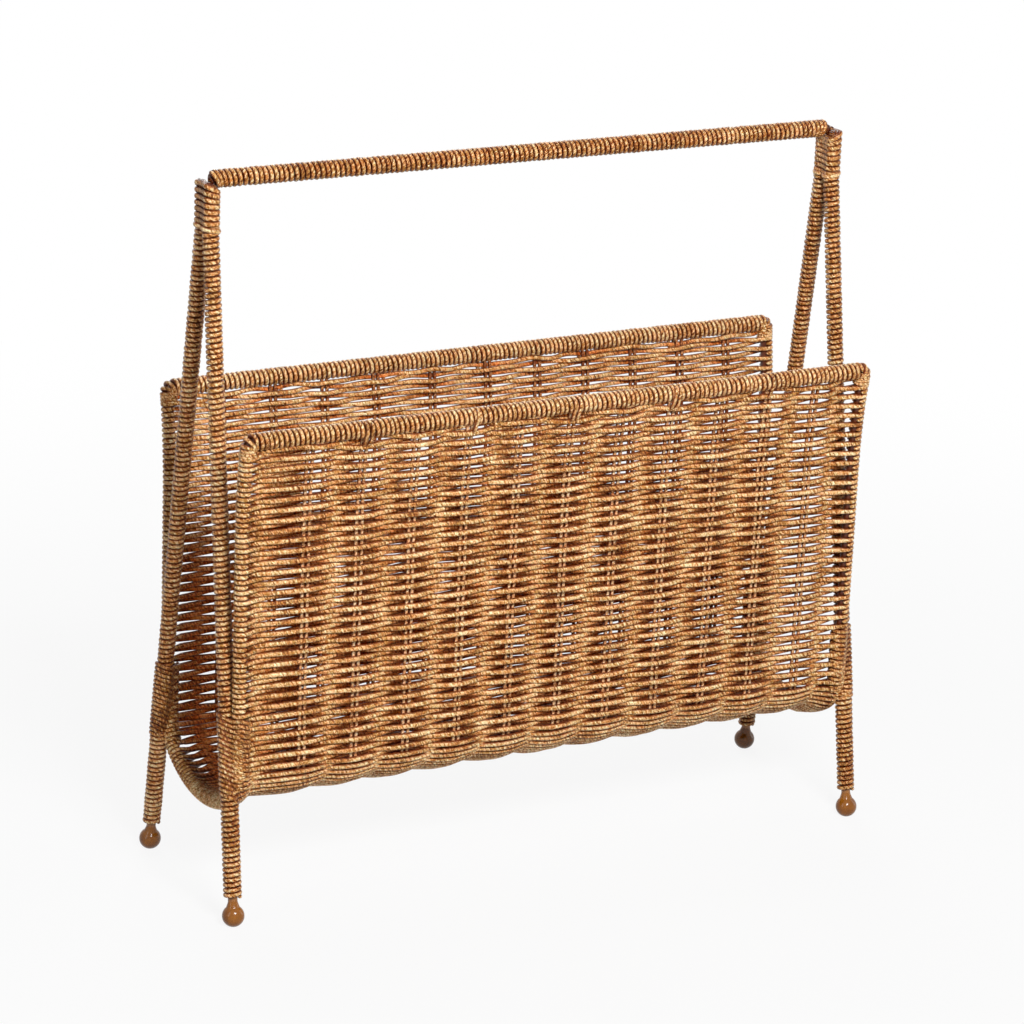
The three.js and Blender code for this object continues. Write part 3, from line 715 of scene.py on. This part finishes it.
def binding_cord(corner, sx, sy):
    """Turns round a leg and the hoop's arm that it crosses. They lean and sag more at the left end."""
    cords = Cords()
    line, out = band_line(lambda h: leg(sx, sy, h), lambda h: hoop(sx, sy, h), BIND_R, BIND_TOP - BIND_INSET,
                          BIND_LOW, BIND_PITCH, tilt=lambda h: BIND_TILT * (1 - sx), dip=BIND_DIP,
                          sag=BIND_SAG - BIND_SAG_LEFT * sx, outer=sx)
    cords.add(line, out, BIND_WIDE, BIND_HIGH, tone=BIND_TONE)
    cords.build(f"{corner}_binding_cord", cord, [f"{corner}_crossing_binding"])


def leg_pair(sx):
    """The axes of the two rods that stand side by side at the top of an end."""
    return [lambda h, y=y: np.array([sx * END_X, y, h]) for y in (-PAIR_Y, PAIR_Y)]


def top_cord(nx, sx):
    """The bound top of an end. Its upper turns lean under the end of the handle, and a knot lies round
    each leg where the two part."""
    cords = Cords()
    lean = lambda h: TOP_LEAN + END_LEAN * math.exp((h - TOP_Z) / LEAN_FADE)
    line, out = band_line(*leg_pair(sx), TOP_R, TOP_START, TOP_END, TOP_PITCH, tilt=lean, dip=TOP_DIP,
                          outer=sx, start=math.pi / 2)
    cords.add(line, out, TOP_WIDE, TOP_HIGH, tone=TOP_TONE)
    for sy in (-1, 1):
        knee = leg(sx, sy, KNEE_Z)
        line, out = band_line(lambda h: knee, lambda h: knee, KNOT_R, KNOT_START, KNOT_END, KNOT_PITCH,
                              tilt=lambda h: KNOT_TILT, outer=sx, start=sy * KNOT_TURN)
        cords.add(line, out, KNOT_WIDE, KNOT_HIGH, tone=KNOT_TONE)
    cords.build(f"{nx}_top_cord", cord, [f"{nx}_top_winding"])


def corner_cord(nx, sx):
    """Dark loops, each at its own level and radius, close the bound top, and a dark coil closes the end of
    the handle, painted shade standing in for the shaded hollow there."""
    cords = Cords()
    for level, radius in CAP_LOOPS:
        line, out = band_line(*leg_pair(sx), radius, level, level - CAP_DROP, CAP_DROP,
                              tilt=lambda h: CAP_TILT * radius, outer=sx)
        cords.add(line, out, CAP_WIDE, CAP_HIGH, tone=CAP_TONE)
    turn = np.linspace(0, PLUG_TURN, 70)
    coil = PLUG_R - PLUG_CLOSES * turn
    x = sx * (END_X - PLUG_INSET + PLUG_OUTWARDS * turn)
    line = np.stack([x, coil * np.sin(turn), HANDLE_Z - PLUG_DROP + coil * np.cos(turn)], 1)
    cords.add(line, (sx, 0, 0), PLUG_WIDE, PLUG_HIGH, tone=PLUG_SHADE_TONE)
    cords.build(f"{nx}_corner_cord", cord, [f"{nx}_corner_cap"])


for nx, sx in SIDES_X:
    for ny, sy in SIDES_Y:
        leg_cords(f"{ny}_{nx}", sx, sy)
        binding_cord(f"{ny}_{nx}", sx, sy)
    top_cord(nx, sx)
    corner_cord(nx, sx)

# Rims: each wrap turns down with the rod at both ends. Where the first weft passes behind a pair of
# stakes, a tie or two show from the rim down to the weft
ELBOW_R, ELBOW_GAP, ELBOW_DOWN = 2.8, 0.5, 9.0
ELBOW_PITCH, ELBOW_WIDE = 1.75, 1.3
RIM_PITCH, RIM_WRAP_R = 3.05, 3.85
TIE_STEPS = (-1.6, 1.4)
TIE_RUNS = np.array([-4.4, -3.2, 0.0, 3.4, 6.2, 8.6, 10.4])
TIE_OFFS = np.array([1.8, 4.2, 5.3, 5.1, 4.5, 3.2, 1.0])
TIE_SLANT, TIE_WANDER = 0.9, 0.3
TIE_WIDE, TIE_HIGH = 1.15, 1.05


def rim_cord(side, top_run, sign):
    y, z, ny, nz = (float(v) for v in section(top_run, 0.0))
    cords = Cords()
    rim_end = HOOP_X - ELBOW_R
    wrap(cords, straight((-rim_end, y, z), (rim_end, y, z)), (0, ny, nz), RIM_PITCH, RIM_WRAP_R)
    for sx in (-1, 1):
        bend = np.linspace(0, math.pi / 2, 30)
        down = np.concatenate([ELBOW_R * (1 - np.cos(bend)), np.linspace(ELBOW_R + ELBOW_GAP, ELBOW_DOWN, 8)])
        x = sx * np.concatenate([rim_end + ELBOW_R * np.sin(bend), np.full(8, HOOP_X)])
        elbow_y, elbow_z, _, _ = section(top_run + sign * down, 0.0)
        wrap(cords, np.stack([x, elbow_y, elbow_z], 1), (0, ny, nz), ELBOW_PITCH, RIM_WRAP_R, wide=ELBOW_WIDE)
    for x in STAKE_X[1::2]:
        for step in rng.permutation(TIE_STEPS)[:rng.integers(1, 3)]:
            add_tie(cords, x + step, top_run + sign * TIE_RUNS)
    cords.build(f"{side}_rim_cord", cord, [f"{side}_rim_wrap"])


def add_tie(cords, x, run):
    y, z, ny, nz = section(run, TIE_OFFS)
    slip = x + np.linspace(TIE_SLANT, -TIE_SLANT, len(run)) + TIE_WANDER * rng.normal(size=len(run))
    cords.add(np.stack([slip, y, z], 1), np.stack([0 * ny, ny, nz], 1), TIE_WIDE, TIE_HIGH)


rim_cord("front", 0.0, 1.0)
rim_cord("back", FULL_RUN, -1.0)

# Ball feet, each turned in one piece with its short neck
NECK_R, NECK_TOP = 2.5, 10.5
NECK_FROM = math.radians(142)
BALL_SIDES = 48
AXIS_Z = 40


def ball_profile():
    """Radii and heights above the ball's centre, from the foot up to the end of the neck."""
    profile = [(BALL_R * math.sin(a), -BALL_R * math.cos(a)) for a in np.linspace(0, NECK_FROM, 30)]
    r0, h0 = profile[-1]
    for t in np.linspace(0, 1, 10)[1:]:
        profile.append((r0 + (NECK_R - r0) * math.sin(t * math.pi / 2), h0 + (NECK_TOP - h0) * t))
    return profile


def ball_foot(corner, sx, sy):
    """A ball on the axis of its leg, with a flat where it meets the floor."""
    foot = leg(sx, sy, FOOT_Z)
    axis = unit(leg(sx, sy, AXIS_Z) - foot)
    u = unit(np.cross(axis, (1, 0, 0)))
    v = np.cross(axis, u)
    turn = [2 * math.pi * k / BALL_SIDES for k in range(BALL_SIDES)]
    points = np.array([foot + axis * h + r * (math.cos(a) * u + math.sin(a) * v)
                       for r, h in ball_profile() for a in turn])
    points[:, 2] = np.maximum(points[:, 2], 0)
    faces = []
    for low in range(0, len(points) - BALL_SIDES, BALL_SIDES):
        high = low + BALL_SIDES
        for k in range(BALL_SIDES):
            after = (k + 1) % BALL_SIDES
            faces.append([low + k, low + after, high + after, high + k])
    mesh = bpy.data.meshes.new(f"{corner}_ball")
    mesh.from_pydata((points * MM).tolist(), [], faces)
    mesh.polygons.foreach_set("use_smooth", np.ones(len(faces), bool))
    finish_piece(f"{corner}_ball", mesh, ball, [f"{corner}_ball_foot"])


for nx, sx in SIDES_X:
    for ny, sy in SIDES_Y:
        ball_foot(f"{ny}_{nx}", sx, sy)

# Floor, lights and camera, in metres
AIM = Vector((-0.00441, -0.00189, 0.20302))
FLOOR_HALF = 8
CAMERA_AZIMUTH, CAMERA_ELEVATION, CAMERA_ROLL = -28.696, 18.354, 2.286
CAMERA_DISTANCE = 2.25017


def direction(azimuth, elevation):
    """The direction from the aim to a place at an azimuth, from the front towards the right, and height."""
    a, e = math.radians(azimuth), math.radians(elevation)
    return Vector((math.cos(e) * math.sin(a), -math.cos(e) * math.cos(a), math.sin(e)))


def floor_material():
    """A pale floor that takes shadows near the basket and is plain white to the eye further off."""
    n = Nodes(bpy.data.materials.new("pale_floor"))
    place = n.place()
    greys = [(0.3, (0.5, 0.5, 0.5, 1)), (0.7, (0.54, 0.54, 0.54, 1))]
    n.surface({"Base Color": n.ramp(n.noise(place, scale=3.0), greys), "Roughness": 0.9})
    reach = n.fill(n.new("ShaderNodeVectorMath", operation="LENGTH"), {0: place})
    far = n.fade(reach.outputs["Value"], low=0.35, high=1.1, first=0.9, last=1.0)
    mixer = n.new("ShaderNodeMixShader")
    n.put(n.math("MULTIPLY", n.seen(), far), mixer.inputs["Fac"])
    n.put(n.tree.nodes["Principled BSDF"].outputs["BSDF"], mixer.inputs[1])
    n.put(n.new("ShaderNodeEmission").outputs["Emission"], mixer.inputs[2])
    n.put(mixer.outputs["Shader"], n.tree.nodes["Material Output"].inputs["Surface"])
    return n.owner


def floor():
    mesh = bpy.data.meshes.new("floor")
    corners = [(-1, -1), (1, -1), (1, 1), (-1, 1)]
    mesh.from_pydata([(x * FLOOR_HALF, y * FLOOR_HALF, 0) for x, y in corners], [], [(0, 1, 2, 3)])
    mesh.materials.append(floor_material())
    plane = bpy.data.objects.new("floor", mesh)
    bpy.context.scene.collection.objects.link(plane)


def softbox(name, azimuth, elevation, distance, size, power):
    lamp = bpy.data.lights.new(name, "AREA")
    lamp.shape = "RECTANGLE"
    lamp.size, lamp.size_y = size
    lamp.energy = power
    box = bpy.data.objects.new(name, lamp)
    box.location = AIM + distance * direction(azimuth, elevation)
    box.rotation_euler = (AIM - box.location).to_track_quat("-Z", "Y").to_euler()
    bpy.context.scene.collection.objects.link(box)


def studio():
    """White to the eye, and nearly dark as a light."""
    world = bpy.data.worlds.new("studio")
    bpy.context.scene.world = world
    n = Nodes(world)
    strength = n.add(n.seen(), gain=0.98, base=0.02)
    n.fill(n.tree.nodes["Background"], {"Color": (1, 1, 1, 1), "Strength": strength})


def camera():
    view = direction(CAMERA_AZIMUTH, CAMERA_ELEVATION)
    right = view.cross(Vector((0, 0, -1))).normalized()
    up = view.cross(right).normalized()
    roll = math.radians(CAMERA_ROLL)
    x_axis = right * math.cos(roll) + up * math.sin(roll)
    y_axis = -right * math.sin(roll) + up * math.cos(roll)
    lens = bpy.data.cameras.new("camera")
    lens.lens = 135.555
    lens.sensor_width = 36
    lens.clip_end = 50
    eye = bpy.data.objects.new("camera", lens)
    matrix = Matrix((x_axis, y_axis, view)).transposed().to_4x4()
    matrix.translation = AIM + CAMERA_DISTANCE * view
    eye.matrix_world = matrix
    bpy.context.scene.collection.objects.link(eye)
    bpy.context.scene.camera = eye


floor()
softbox("key_softbox", -9, 37, 1.6, (0.5, 0.35), 32.5)
softbox("right_softbox", 80, 12, 1.6, (0.4, 1.2), 3)
softbox("left_softbox", -75, 20, 1.6, (0.4, 1.2), 3.5)
softbox("back_softbox", 168, 30, 1.8, (1.2, 0.8), 20)
studio()
camera()
bpy.context.scene.view_settings.view_transform = "Standard"
